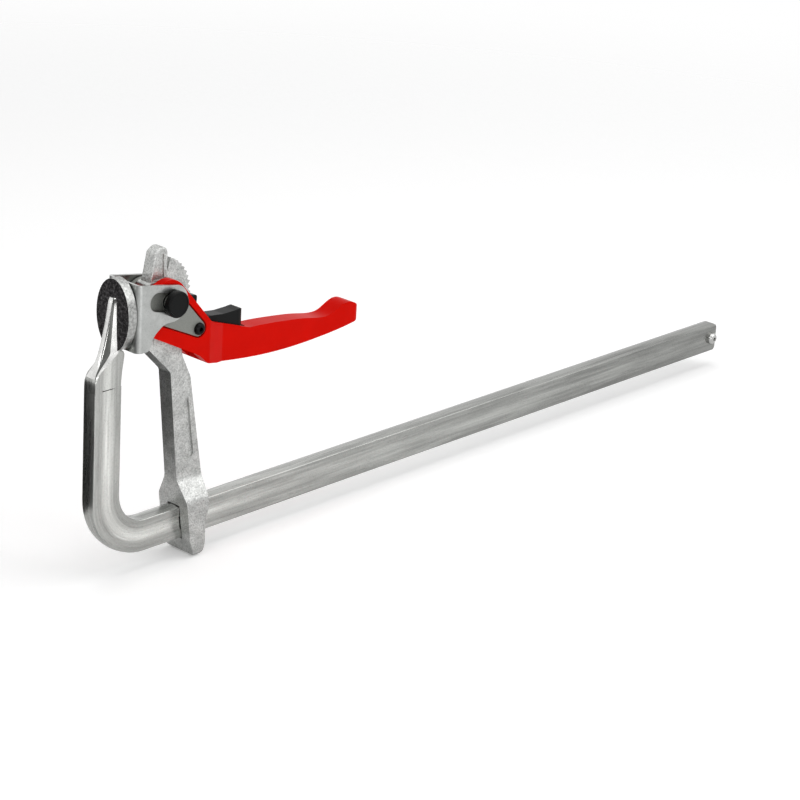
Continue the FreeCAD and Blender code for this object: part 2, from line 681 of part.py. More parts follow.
def make_trigger():
    """Plastic trigger: a paddle that stands out of the handle, forked over the pawl's tail."""
    rear_end = trigger_rear + trigger_half_width
    side = rounded([(trigger_front, trigger_top - 0.8, 0.8), (63.0, trigger_top + 0.5, 1.5),
                    (73.0, trigger_top - 0.6, 20), (82.0, trigger_top - 0.4, 20),
                    (rear_end - 1.4, trigger_top + 0.2, 2.2), (rear_end + 0.4, trigger_top - 12.0, 0),
                    (74.0, trigger_top - 11.2, 2), (trigger_front, trigger_top - 8.2, 0.8)])
    body = mirrored_slab(side, trigger_half_width)
    low = trigger_top - 15
    paddle = block(trigger_front - 5, trigger_rear, -trigger_half_width, trigger_half_width, low, 0)
    paddle = paddle.fuse(Part.makeCylinder(trigger_half_width, -low, V(trigger_rear, 0, low)))
    body = body.common(paddle)
    half = pawl_thickness / 2
    space_end = axle_x + tail_length + 0.2
    tail_space = rounded([(axle_x - 1, axle_z - 4.5, 0), (space_end, axle_z - 4.6, 1),
                          (space_end, axle_z + 2.1, 1), (axle_x - 1, axle_z + 4.0, 0)])
    body = body.cut(mirrored_slab(tail_space, half))
    pin_hole = cross_cylinder(*roll_pin_place, roll_pin_diameter / 2, -trigger_half_width,
                              trigger_half_width)
    return body.cut(pin_hole).removeSplitter()


def make_roll_pin():
    """Hollow pin that holds the trigger on the pawl's tail."""
    radius = roll_pin_diameter / 2
    pin = cross_cylinder(*roll_pin_place, radius, -trigger_half_width, trigger_half_width)
    core = cross_cylinder(*roll_pin_place, radius - 0.4, -trigger_half_width, trigger_half_width)
    return pin.cut(core)


def make_spring():
    """Flat coil of the trigger's torsion spring, beside the pawl."""
    radius = sleeve_diameter / 2 + 0.2 + spring_wire
    high = -pawl_thickness / 2 - spring_gap
    low = high - 2 * spring_wire
    coil = cross_cylinder(axle_x, axle_z, radius, low, high)
    return coil.cut(cross_cylinder(axle_x, axle_z, radius - spring_wire, low, high))


def make_stop_screw():
    x = rail_reach - stop_inset
    z = rail_bottom + rail_height / 2
    face = plain_relief - rail_half
    head_out = face - stop_head_height
    head = cross_cylinder(x, z, stop_head_diameter / 2, head_out, face)
    rim = [e for e in head.Edges if abs(e.CenterOfMass.y - head_out) < 1e-3]
    head = head.makeFillet(stop_head_height * 0.7, rim)
    screw = head.fuse(cross_cylinder(x, z, stop_thread / 2, face, -face))
    return screw.cut(hexagon(x, z, socket_width, head_out - 1, head_out + 1.6))


os.makedirs("parts", exist_ok=True)
write("rail", make_rail())
write("fixed_jaw", make_fixed_jaw())
write("sliding_arm", make_arm())
write("pivot_pin", make_pivot_pin())
write("pin_rings", make_pin_rings())
cap_near, cap_far = on_both_sides(make_cap)
write("pin_cap_near", cap_near)
write("pin_cap_far", cap_far)
write("pressure_bracket", make_bracket())
write("handle", make_handle())
link_near, link_far = on_both_sides(make_link_plate)
write("link_plate_near", link_near)
write("link_plate_far", link_far)
write("axle_sleeve", make_sleeve())
screw_near, screw_far = on_both_sides(make_axle_screw)
write("axle_screw_near", screw_near)
write("axle_screw_far", screw_far)
write("pawl", make_pawl())
write("release_trigger", make_trigger())
write("trigger_pin", make_roll_pin())
write("trigger_spring", make_spring())
write("end_stop_screw", make_stop_screw())
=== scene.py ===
"""Lever bar clamp: finishes, fine forms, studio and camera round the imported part."""
import math

import bpy
from bpy.props import FloatProperty, FloatVectorProperty, PointerProperty, StringProperty
from mathutils import Matrix, Vector


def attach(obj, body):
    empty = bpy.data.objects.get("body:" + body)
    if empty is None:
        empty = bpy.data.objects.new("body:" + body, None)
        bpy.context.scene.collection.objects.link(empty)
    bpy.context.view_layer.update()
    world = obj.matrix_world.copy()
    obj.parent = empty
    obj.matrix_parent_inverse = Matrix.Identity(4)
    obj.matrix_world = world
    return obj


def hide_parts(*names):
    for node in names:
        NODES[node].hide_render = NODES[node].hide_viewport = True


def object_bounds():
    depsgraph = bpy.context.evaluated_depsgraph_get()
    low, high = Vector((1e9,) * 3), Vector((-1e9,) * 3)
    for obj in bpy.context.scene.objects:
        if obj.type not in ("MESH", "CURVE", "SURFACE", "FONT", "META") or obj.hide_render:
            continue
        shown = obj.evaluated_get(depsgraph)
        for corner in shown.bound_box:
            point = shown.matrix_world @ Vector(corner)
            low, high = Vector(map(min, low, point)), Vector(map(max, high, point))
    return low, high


bl_info = {
    "name": "Lever bar clamp",
    "version": (1, 0, 0),
    "blender": (4, 5, 0),
    "location": "View3D > Sidebar > Clamp",
    "description": "Finishes and fine forms of a lever bar clamp, with its studio",
    "category": "Object",
}

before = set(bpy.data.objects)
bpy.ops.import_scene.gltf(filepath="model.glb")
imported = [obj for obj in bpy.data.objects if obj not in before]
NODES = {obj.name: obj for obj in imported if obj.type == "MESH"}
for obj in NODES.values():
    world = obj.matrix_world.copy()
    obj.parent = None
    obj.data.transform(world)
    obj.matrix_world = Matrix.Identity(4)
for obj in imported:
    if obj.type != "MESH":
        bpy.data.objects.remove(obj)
CAD_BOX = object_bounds()
MM = 0.001

# Places in the part's frame, in metres
BEND_X = 0.01710              # centre of the rail's bend
BEND_Z = -0.1055
BEND_INSIDE = 0.0200          # from that centre to the bar's inner and outer narrow faces
BEND_OUTSIDE = 0.0395
JAW_BACK_X = -0.0067          # dark face of the fixed jaw
PIVOT = Vector((0.0254, 0.0, 0.0040))
LOWEST = CAD_BOX[0][2]        # of the clamp, so the floor lies just under it


def linear(hex_colour):
    """sRGB hex value, turned to the linear colour that a shader takes."""
    channels = [int(hex_colour[i:i + 2], 16) / 255 for i in (1, 3, 5)]
    turned = [c / 12.92 if c <= 0.04045 else ((c + 0.055) / 1.055) ** 2.4 for c in channels]
    return (*turned, 1.0)


def grey(value):
    """Linear grey of this level."""
    return (value, value, value, 1.0)


# Sizes and colours that a user would change

class CLAMP_PG_sizes(bpy.types.PropertyGroup):
    casting_edge: FloatProperty(
        name="Casting edge", description="Rounding along the arm's cast edges",
        default=0.7 * MM, unit="LENGTH")
    handle_edge: FloatProperty(
        name="Handle edge", description="Rounding along the handle's cast edges",
        default=0.8 * MM, unit="LENGTH")
    jaw_edge: FloatProperty(
        name="Jaw edge", description="Rounding along the fixed jaw's forged edges",
        default=0.7 * MM, unit="LENGTH")
    sheet_edge: FloatProperty(
        name="Sheet edge", description="Rounding along the sheet's punched edges",
        default=0.25 * MM, unit="LENGTH")
    trigger_edge: FloatProperty(
        name="Trigger edge", description="Rounding along the trigger's moulded edges",
        default=0.5 * MM, unit="LENGTH")
    plate_gap: FloatProperty(
        name="Plate gap", description="Gap round a link plate in its pocket",
        default=0.45 * MM, unit="LENGTH")
    camera_azimuth: FloatProperty(
        name="Camera azimuth", description="Turn of the viewing direction from +Y towards +X",
        default=math.radians(48.56), subtype="ANGLE")
    camera_elevation: FloatProperty(
        name="Camera elevation", description="How steeply the camera looks down",
        default=math.radians(20.67), subtype="ANGLE")
    camera_roll: FloatProperty(
        name="Camera roll", description="Tilt of the picture",
        default=math.radians(3.57), subtype="ANGLE")
    camera_place: FloatVectorProperty(
        name="Camera place", description="Where the camera stands",
        default=(-0.90025, -1.00045, 0.46374), subtype="TRANSLATION", unit="LENGTH")
    focal_length: FloatProperty(
        name="Focal length", description="Lens of the camera, in mm on a 36 mm sensor",
        default=116.94)
    floor_drop: FloatProperty(
        name="Floor drop", description="Gap between the clamp's lowest point and the floor",
        default=0.2 * MM, unit="LENGTH")


class CLAMP_PG_colours(bpy.types.PropertyGroup):
    zinc: StringProperty(
        name="Zinc", description="Zinc plated steel of the rail", default="#a9aaa7")
    # painted highlight: the neck's flanks are coloured this bright in place of their reflection
    flank_highlight: StringProperty(
        name="Burnished", description="Flanks of the rail's neck, pressed bright by the die",
        default="#e2e2e0")
    # painted shade: the valleys beside the neck's rib are coloured this dark in place of the shade
    # that falls in them
    scale: StringProperty(
        name="Scale", description="Scale in the valleys beside the neck's rib", default="#5e5f5d")
    jaw_back: StringProperty(
        name="Jaw back", description="Dark scale on the jaw's back", default="#4a4849")
    jaw_rim: StringProperty(
        name="Jaw rim", description="Plating on the jaw's rim and face", default="#b9bab8")
    casting: StringProperty(
        name="Casting", description="Zinc plated casting of the arm", default="#c8c9c7")
    sheet: StringProperty(
        name="Sheet", description="Zinc plated sheet of the pressure bracket", default="#b7b9b7")
    turned: StringProperty(
        name="Turned steel", description="Zinc plated pin, sleeve and end-stop screw",
        default="#c2c2c0")
    enamel: StringProperty(
        name="Enamel", description="Red paint of the handle", default="#cc0a00")
    black: StringProperty(
        name="Black", description="Moulded black plastic", default="#101111")
    plate: StringProperty(
        name="Plate", description="Grey link plates", default="#868883")


# Materials

def new_material(name):
    """An empty material with its node tree."""
    material = bpy.data.materials.new(name)
    material.use_nodes = True
    material.node_tree.nodes.clear()
    return material, material.node_tree


def add(tree, kind, settings=None, links=None, stops=()):
    """One node, with its attributes, socket values and ramp stops, and links into its sockets."""
    node = tree.nodes.new(kind)
    for key, value in (settings or {}).items():
        if isinstance(key, str) and hasattr(node, key):
            setattr(node, key, value)
        else:
            node.inputs[key].default_value = value
    for key, source in (links or {}).items():
        tree.links.new(source, node.inputs[key])
    for place, colour in stops[:len(stops) - 2]:
        node.color_ramp.elements.new(place)
    for element, (place, colour) in zip(node.color_ramp.elements if stops else (), stops):
        element.position = place
        element.color = colour
    return node


def per(size):
    """Scale of a pattern whose features are this many millimetres across."""
    return 1.0 / (size * MM)


def cold_drawn_zinc(colour):
    """Zinc plated drawn steel: long soft streaks that follow the bend, cloudy patches, and a painted
    highlight along the band on the leg and the bend.
    """
    material, tree = new_material("cold_drawn_zinc")
    place = add(tree, "ShaderNodeTexCoord")
    axes = add(tree, "ShaderNodeSeparateXYZ", {}, {"Vector": place.outputs["Object"]})
    # distance from the bend's centre: across the bar on both straights and round the bend
    leftward = add(tree, "ShaderNodeMath", {"operation": "SUBTRACT", 0: BEND_X},
                   {1: axes.outputs["X"]})
    left = add(tree, "ShaderNodeMath", {"operation": "MAXIMUM", 1: 0.0}, {0: leftward.outputs[0]})
    downward = add(tree, "ShaderNodeMath", {"operation": "SUBTRACT", 0: BEND_Z},
                   {1: axes.outputs["Z"]})
    down = add(tree, "ShaderNodeMath", {"operation": "MAXIMUM", 1: 0.0}, {0: downward.outputs[0]})
    corner = add(tree, "ShaderNodeCombineXYZ", {}, {"X": left.outputs[0], "Y": down.outputs[0]})
    across = add(tree, "ShaderNodeVectorMath", {"operation": "LENGTH"}, {0: corner.outputs[0]})
    along = add(tree, "ShaderNodeMath", {"operation": "SUBTRACT"},
                {0: axes.outputs["X"], 1: axes.outputs["Z"]})
    drawn = add(tree, "ShaderNodeCombineXYZ", {},
                {"X": along.outputs[0], "Y": across.outputs["Value"], "Z": axes.outputs["Y"]})
    # streaks of the drawing die, along the bar and then across it
    stretched = add(tree, "ShaderNodeMapping", {"Scale": (per(62.5), per(1.54), per(1.54))},
                    {"Vector": drawn.outputs["Vector"]})
    streaks = add(tree, "ShaderNodeTexNoise", {"Scale": 1.0, "Detail": 5.0, "Roughness": 0.62},
                  {"Vector": stretched.outputs["Vector"]})
    # cloudy patches of the plating, stretched along the bar
    wide = add(tree, "ShaderNodeMapping", {"Scale": (per(62.5), per(5.88), per(5.88))},
               {"Vector": drawn.outputs["Vector"]})
    clouds = add(tree, "ShaderNodeTexNoise",
                 {"Scale": 1.0, "Detail": 6.0, "Roughness": 0.6, "Distortion": 0.4},
                 {"Vector": wide.outputs["Vector"]})
    specks = add(tree, "ShaderNodeTexNoise", {"Scale": per(1.11), "Detail": 3.0, "Roughness": 0.7},
                 {"Vector": place.outputs["Object"]})
    tone = add(tree, "ShaderNodeValToRGB", {}, {"Fac": clouds.outputs["Fac"]},
               [(0.32, grey(0.76)), (0.5, grey(0.95)), (0.68, grey(1.14))])
    fine = add(tree, "ShaderNodeValToRGB", {}, {"Fac": streaks.outputs["Fac"]},
               [(0.34, grey(0.8)), (0.66, grey(1.12))])
    dots = add(tree, "ShaderNodeValToRGB", {}, {"Fac": specks.outputs["Fac"]},
               [(0.32, grey(0.78)), (0.5, grey(1.0))])
    clouded = add(tree, "ShaderNodeMix",
                  {"data_type": "RGBA", "blend_type": "MULTIPLY", 0: 1.0, 6: linear(colour)},
                  {7: tone.outputs["Color"]})
    streaked = add(tree, "ShaderNodeMix", {"data_type": "RGBA", "blend_type": "MULTIPLY", 0: 1.0},
                   {6: clouded.outputs[2], 7: fine.outputs["Color"]})
    speckled = add(tree, "ShaderNodeMix", {"data_type": "RGBA", "blend_type": "MULTIPLY", 0: 0.7},
                   {6: streaked.outputs[2], 7: dots.outputs["Color"]})
    # painted highlight: the band between the rolled edges is coloured up to 1.8 times brighter on the
    # leg and the bend, less along the bar, in place of the reflection off its slopes
    share = add(tree, "ShaderNodeMapRange", {"From Min": BEND_INSIDE, "From Max": BEND_OUTSIDE},
                {"Value": across.outputs["Value"]})
    band = add(tree, "ShaderNodeValToRGB", {}, {"Fac": share.outputs["Result"]},
               [(0.24, grey(0.0)), (0.42, grey(1.0)), (0.56, grey(1.0)), (0.74, grey(0.0))])
    leg = add(tree, "ShaderNodeMapRange",
              {"From Min": 0.02, "From Max": 0.12, "To Min": 1.0, "To Max": 0.25},
              {"Value": axes.outputs["X"]})
    painted_band_highlight = add(tree, "ShaderNodeMath", {"operation": "MULTIPLY"},
                  {0: band.outputs["Color"], 1: leg.outputs["Result"]})
    band_highlight_lift = add(tree, "ShaderNodeMapRange", {"To Min": 1.0, "To Max": 1.8},
               {"Value": painted_band_highlight.outputs[0]})
    # from the bend to the far end the plating grows duller
    fading = add(tree, "ShaderNodeMapRange",
                 {"From Min": 0.1, "From Max": 0.5, "To Min": 1.16, "To Max": 0.74},
                 {"Value": axes.outputs["X"]})
    level = add(tree, "ShaderNodeMath", {"operation": "MULTIPLY"},
                {0: band_highlight_lift.outputs["Result"], 1: fading.outputs["Result"]})
    lifted = add(tree, "ShaderNodeVectorMath", {"operation": "SCALE"},
                 {0: speckled.outputs[2], "Scale": level.outputs[0]})
    # no metal gives back more light than falls on it
    bounded = add(tree, "ShaderNodeVectorMath", {"operation": "MINIMUM", 1: (0.95, 0.95, 0.95)},
                  {0: lifted.outputs["Vector"]})
    rough = add(tree, "ShaderNodeValToRGB", {}, {"Fac": clouds.outputs["Fac"]},
                [(0.35, grey(0.2)), (0.65, grey(0.34))])
    bump = add(tree, "ShaderNodeBump", {"Strength": 0.3, "Distance": 0.2 * MM},
               {"Height": streaks.outputs["Fac"]})
    shader = add(tree, "ShaderNodeBsdfPrincipled", {"Metallic": 1.0},
                 {"Base Color": bounded.outputs["Vector"], "Roughness": rough.outputs["Color"],
                  "Normal": bump.outputs["Normal"]})
    add(tree, "ShaderNodeOutputMaterial", {}, {"Surface": shader.outputs["BSDF"]})
    return material


def cast_zinc(colour):
    """Zinc plated casting, shot blasted: an even sparkling grain over shallow pits."""
    material, tree = new_material("cast_zinc")
    place = add(tree, "ShaderNodeTexCoord")
    # blasted grain is finer than this and wouldn't show, so it is drawn coarser
    grain = add(tree, "ShaderNodeTexNoise", {"Scale": per(0.909), "Detail": 4.0, "Roughness": 0.65},
                {"Vector": place.outputs["Object"]})
    pits = add(tree, "ShaderNodeTexVoronoi", {"Scale": per(1.613)},
               {"Vector": place.outputs["Object"]})
    clouds = add(tree, "ShaderNodeTexNoise", {"Scale": per(7.69), "Detail": 5.0, "Roughness": 0.6},
                 {"Vector": place.outputs["Object"]})
    tone = add(tree, "ShaderNodeValToRGB", {}, {"Fac": clouds.outputs["Fac"]},
               [(0.3, grey(0.74)), (0.7, grey(1.06))])
    fine = add(tree, "ShaderNodeValToRGB", {}, {"Fac": grain.outputs["Fac"]},
               [(0.34, grey(0.6)), (0.5, grey(0.95)), (0.66, grey(1.2))])
    clouded = add(tree, "ShaderNodeMix",
                  {"data_type": "RGBA", "blend_type": "MULTIPLY", 0: 1.0, 6: linear(colour)},
                  {7: tone.outputs["Color"]})
    grained = add(tree, "ShaderNodeMix", {"data_type": "RGBA", "blend_type": "MULTIPLY", 0: 1.0},
                  {6: clouded.outputs[2], 7: fine.outputs["Color"]})
    coarse = add(tree, "ShaderNodeBump", {"Strength": 0.35, "Distance": 0.3 * MM},
                 {"Height": pits.outputs["Distance"]})
    bump = add(tree, "ShaderNodeBump", {"Strength": 0.45, "Distance": 0.3 * MM},
               {"Height": grain.outputs["Fac"], "Normal": coarse.outputs["Normal"]})
    shader = add(tree, "ShaderNodeBsdfPrincipled", {"Metallic": 1.0, "Roughness": 0.38},
                 {"Base Color": grained.outputs[2], "Normal": bump.outputs["Normal"]})
    add(tree, "ShaderNodeOutputMaterial", {}, {"Surface": shader.outputs["BSDF"]})
    return material


def bright_sheet(colour, name, roughness):
    """Zinc plated sheet and turned parts: bright, slightly cloudy, with a slight orange peel."""
    material, tree = new_material(name)
    place = add(tree, "ShaderNodeTexCoord")
    clouds = add(tree, "ShaderNodeTexNoise", {"Scale": per(5.26), "Detail": 6.0, "Roughness": 0.65},
                 {"Vector": place.outputs["Object"]})
    specks = add(tree, "ShaderNodeTexNoise", {"Scale": per(1.0), "Detail": 3.0, "Roughness": 0.7},
                 {"Vector": place.outputs["Object"]})
    tone = add(tree, "ShaderNodeValToRGB", {}, {"Fac": clouds.outputs["Fac"]},
               [(0.3, grey(0.84)), (0.7, grey(1.08))])
    dots = add(tree, "ShaderNodeValToRGB", {}, {"Fac": specks.outputs["Fac"]},
               [(0.3, grey(0.72)), (0.46, grey(1.0))])
    clouded = add(tree, "ShaderNodeMix",
                  {"data_type": "RGBA", "blend_type": "MULTIPLY", 0: 1.0, 6: linear(colour)},
                  {7: tone.outputs["Color"]})
    speckled = add(tree, "ShaderNodeMix", {"data_type": "RGBA", "blend_type": "MULTIPLY", 0: 0.6},
                   {6: clouded.outputs[2], 7: dots.outputs["Color"]})
    bump = add(tree, "ShaderNodeBump", {"Strength": 0.18, "Distance": 0.3 * MM},
               {"Height": clouds.outputs["Fac"]})
    shader = add(tree, "ShaderNodeBsdfPrincipled", {"Metallic": 1.0, "Roughness": roughness},
                 {"Base Color": speckled.outputs[2], "Normal": bump.outputs["Normal"]})
    add(tree, "ShaderNodeOutputMaterial", {}, {"Surface": shader.outputs["BSDF"]})
    return material


def forged_jaw(bright, dark):
    """Forged jaw plate: dark mottled scale on its back, bright plating on rim and face."""
    material, tree = new_material("forged_jaw")
    place = add(tree, "ShaderNodeTexCoord")
    axes = add(tree, "ShaderNodeSeparateXYZ", {}, {"Vector": place.outputs["Object"]})
    speckle = add(tree, "ShaderNodeTexNoise",
                  {"Scale": per(1.613), "Detail": 5.0, "Roughness": 0.75},
                  {"Vector": place.outputs["Object"]})
    back = add(tree, "ShaderNodeMath", {"operation": "LESS_THAN", 1: JAW_BACK_X + 0.1 * MM},
               {0: axes.outputs["X"]})
    scale = add(tree, "ShaderNodeValToRGB", {}, {"Fac": speckle.outputs["Fac"]},
                [(0.36, linear("#1e1d1e")), (0.52, linear(dark)), (0.72, linear("#8d8b8c"))])
    plated = add(tree, "ShaderNodeValToRGB", {}, {"Fac": speckle.outputs["Fac"]},
                 [(0.34, linear("#7c7d7b")), (0.58, linear(bright))])
    coloured = add(tree, "ShaderNodeMix", {"data_type": "RGBA"},
                   {0: back.outputs[0], 6: plated.outputs["Color"], 7: scale.outputs["Color"]})
    rough = add(tree, "ShaderNodeMapRange", {"To Min": 0.28, "To Max": 0.5},
                {"Value": back.outputs[0]})
    bump = add(tree, "ShaderNodeBump", {"Strength": 0.5, "Distance": 0.3 * MM},
               {"Height": speckle.outputs["Fac"]})
    shader = add(tree, "ShaderNodeBsdfPrincipled", {"Metallic": 1.0},
                 {"Base Color": coloured.outputs[2], "Roughness": rough.outputs["Result"],
                  "Normal": bump.outputs["Normal"]})
    add(tree, "ShaderNodeOutputMaterial", {}, {"Surface": shader.outputs["BSDF"]})
    return material


def gloss_enamel(colour):
    """Powder-coated enamel: opaque red, a soft gloss over a slight orange peel of 2 mm waves."""
    material, tree = new_material("gloss_enamel")
    place = add(tree, "ShaderNodeTexCoord")
    peel = add(tree, "ShaderNodeTexNoise", {"Scale": per(2.0), "Detail": 2.0},
               {"Vector": place.outputs["Object"]})
    clouds = add(tree, "ShaderNodeTexNoise", {"Scale": per(16.67), "Detail": 3.0},
                 {"Vector": place.outputs["Object"]})
    tone = add(tree, "ShaderNodeValToRGB", {}, {"Fac": clouds.outputs["Fac"]},
               [(0.3, grey(0.93)), (0.7, grey(1.04))])
    coloured = add(tree, "ShaderNodeMix",
                   {"data_type": "RGBA", "blend_type": "MULTIPLY", 0: 1.0, 6: linear(colour)},
                   {7: tone.outputs["Color"]})
    bump = add(tree, "ShaderNodeBump", {"Strength": 0.05, "Distance": 0.3 * MM},
               {"Height": peel.outputs["Fac"]})
    shader = add(tree, "ShaderNodeBsdfPrincipled",
                 {"Roughness": 0.3, "IOR": 1.45, "Specular IOR Level": 0.03},
                 {"Base Color": coloured.outputs[2], "Normal": bump.outputs["Normal"]})
    add(tree, "ShaderNodeOutputMaterial", {}, {"Surface": shader.outputs["BSDF"]})
    return material


def moulded_black(colour):
    """Glass-filled nylon, moulded: satin black, its fine grain drawn coarse enough to show."""
    material, tree = new_material("moulded_black")
    place = add(tree, "ShaderNodeTexCoord")
    grain = add(tree, "ShaderNodeTexNoise", {"Scale": per(0.4545), "Detail": 2.0},
                {"Vector": place.outputs["Object"]})
    tone = add(tree, "ShaderNodeValToRGB", {}, {"Fac": grain.outputs["Fac"]},
               [(0.3, grey(0.75)), (0.7, grey(1.3))])
    coloured = add(tree, "ShaderNodeMix",
                   {"data_type": "RGBA", "blend_type": "MULTIPLY", 0: 1.0, 6: linear(colour)},
                   {7: tone.outputs["Color"]})
    bump = add(tree, "ShaderNodeBump", {"Strength": 0.2, "Distance": 0.1 * MM},
               {"Height": grain.outputs["Fac"]})
    shader = add(tree, "ShaderNodeBsdfPrincipled",
                 {"Roughness": 0.34, "IOR": 1.5, "Specular IOR Level": 0.09},
                 {"Base Color": coloured.outputs[2], "Normal": bump.outputs["Normal"]})
    add(tree, "ShaderNodeOutputMaterial", {}, {"Surface": shader.outputs["BSDF"]})
    return material


def phosphated_plate(colour):
    """Phosphated steel plate: matt grey, with crystals drawn coarse enough to show."""
    material, tree = new_material("phosphated_plate")
    place = add(tree, "ShaderNodeTexCoord")
    grain = add(tree, "ShaderNodeTexNoise", {"Scale": per(0.5556), "Detail": 3.0},
                {"Vector": place.outputs["Object"]})
    tone = add(tree, "ShaderNodeValToRGB", {}, {"Fac": grain.outputs["Fac"]},
               [(0.3, grey(0.88)), (0.7, grey(1.06))])
    coloured = add(tree, "ShaderNodeMix",
                   {"data_type": "RGBA", "blend_type": "MULTIPLY", 0: 1.0, 6: linear(colour)},
                   {7: tone.outputs["Color"]})
    shader = add(tree, "ShaderNodeBsdfPrincipled", {"Metallic": 0.6, "Roughness": 0.5},
                 {"Base Color": coloured.outputs[2]})
    add(tree, "ShaderNodeOutputMaterial", {}, {"Surface": shader.outputs["BSDF"]})
    return material


def blackened_steel():
    """Black oxide on hardened steel: dark, with a slightly oily gloss."""
    material, tree = new_material("blackened_steel")
    place = add(tree, "ShaderNodeTexCoord")
    grain = add(tree, "ShaderNodeTexNoise", {"Scale": per(0.8333), "Detail": 3.0},
                {"Vector": place.outputs["Object"]})
    coloured = add(tree, "ShaderNodeValToRGB", {}, {"Fac": grain.outputs["Fac"]},
                   [(0.3, linear("#101010")), (0.7, linear("#262627"))])
    shader = add(tree, "ShaderNodeBsdfPrincipled", {"Metallic": 1.0, "Roughness": 0.3},
                 {"Base Color": coloured.outputs["Color"]})
    add(tree, "ShaderNodeOutputMaterial", {}, {"Surface": shader.outputs["BSDF"]})
    return material


# Shaping

SMOOTH_ANGLE = math.radians(38)          # faces that meet at less than this shade as one


def use(material, *names):
    """Give CAD nodes this material only."""
    for name in names:
        NODES[name].data.materials.clear()
        NODES[name].data.materials.append(material)


def edit(piece):
    """Select this piece alone and open it in edit mode, to be picked by its edges."""
    bpy.ops.object.select_all(action="DESELECT")
    piece.select_set(True)
    bpy.context.view_layer.objects.active = piece
    bpy.ops.object.mode_set(mode="EDIT")
    bpy.ops.mesh.select_mode(type="EDGE")


def select_only(mesh, parts, indices):
    """Select these edges or faces of a mesh with their corners, and nothing else."""
    for kind in (mesh.vertices, mesh.edges, mesh.polygons):
        kind.foreach_set("select", [False] * len(kind))
    for index in indices:
        parts[index].select = True
        for corner in parts[index].vertices:
            mesh.vertices[corner].select = True


def pick_vertices(piece, wanted):
    """Select these vertices of a mesh, and the edges between them."""
    bpy.ops.object.mode_set(mode="OBJECT")
    mesh = piece.data
    wanted = set(wanted)
    for corner in mesh.vertices:
        corner.select = corner.index in wanted
    for line in mesh.edges:
        line.select = all(i in wanted for i in line.vertices)
    for face in mesh.polygons:
        face.select = False
    bpy.ops.object.mode_set(mode="EDIT")


def pick_faces(piece, wanted):
    """Select the faces of a mesh that the test takes, and nothing else."""
    bpy.ops.object.mode_set(mode="OBJECT")
    mesh = piece.data
    found = [face.index for face in mesh.polygons if wanted(face)]
    if not found:
        raise RuntimeError("no face found on " + piece.name)
    select_only(mesh, mesh.polygons, found)
    bpy.ops.object.mode_set(mode="EDIT")
    bpy.ops.mesh.select_mode(type="FACE")


def merged_copy(node, name):
    """A copy of a CAD node's mesh, its doubles merged and its flats joined, open in edit mode."""
    piece = bpy.data.objects.new(name, NODES[node].data.copy())
    bpy.context.scene.collection.objects.link(piece)
    edit(piece)
    bpy.ops.mesh.customdata_custom_splitnormals_clear()
    bpy.ops.mesh.select_all(action="SELECT")
    bpy.ops.mesh.remove_doubles(threshold=0.002 * MM)
    bpy.ops.mesh.dissolve_limited(angle_limit=math.radians(0.5))
    bpy.ops.mesh.select_all(action="DESELECT")
    return piece


def dress(piece, material):
    """Smooth the curved faces, keep the flats flat to the eye, and give the piece its material."""
    bpy.ops.object.mode_set(mode="OBJECT")
    bpy.ops.object.shade_smooth_by_angle(angle=SMOOTH_ANGLE)
    flats = piece.modifiers.new("flats", "WEIGHTED_NORMAL")
    flats.weight = 100
    flats.keep_sharp = True
    bpy.ops.object.modifier_apply(modifier=flats.name)
    piece.data.materials.clear()
    piece.data.materials.append(material)


def rounded_copy(node, name, material, width, segments=2, sharp=35, spared=None):
    """A copy of a CAD node that replaces it, its sharp edges rounded, but for the spared ones."""
    piece = merged_copy(node, name)
    mesh = piece.data
    bpy.ops.mesh.edges_select_sharp(sharpness=math.radians(sharp))
    bpy.ops.object.mode_set(mode="OBJECT")
    rounded = []
    for edge in mesh.edges:
        ends = [mesh.vertices[i].co for i in edge.vertices]
        if edge.select and not (spared and spared((ends[0] + ends[1]) / 2)):
            rounded.append(edge.index)
    select_only(mesh, mesh.edges, rounded)
    bpy.ops.object.mode_set(mode="EDIT")
    bpy.ops.mesh.bevel(offset=width, segments=segments, affect="EDGES", clamp_overlap=True)
    dress(piece, material)
    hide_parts(node)
    return piece


def bridged(name, rows):
    """A closed solid through rings of corners: circles placed, bridged one to the next, capped."""
    count = len(rows[0])
    rings = []
    for row in rows:
        bpy.ops.object.select_all(action="DESELECT")
        bpy.ops.mesh.primitive_circle_add(vertices=count, radius=5.0 * MM)
        ring = bpy.context.object
        for corner, place in zip(ring.data.vertices, row):
            corner.co = place
        rings.append(ring)
    for ring in rings:
        ring.select_set(True)
    solid = rings[0]
    bpy.context.view_layer.objects.active = solid
    bpy.ops.object.join()
    solid.name = name
    edit(solid)
    for row in range(len(rows) - 1):
        pick_vertices(solid, range(row * count, (row + 2) * count))
        bpy.ops.mesh.bridge_edge_loops()
    for row in (0, len(rows) - 1):
        pick_vertices(solid, range(row * count, (row + 1) * count))
        bpy.ops.mesh.edge_face_add()
    bpy.ops.mesh.select_all(action="SELECT")
    bpy.ops.mesh.normals_make_consistent(inside=False)
    return solid


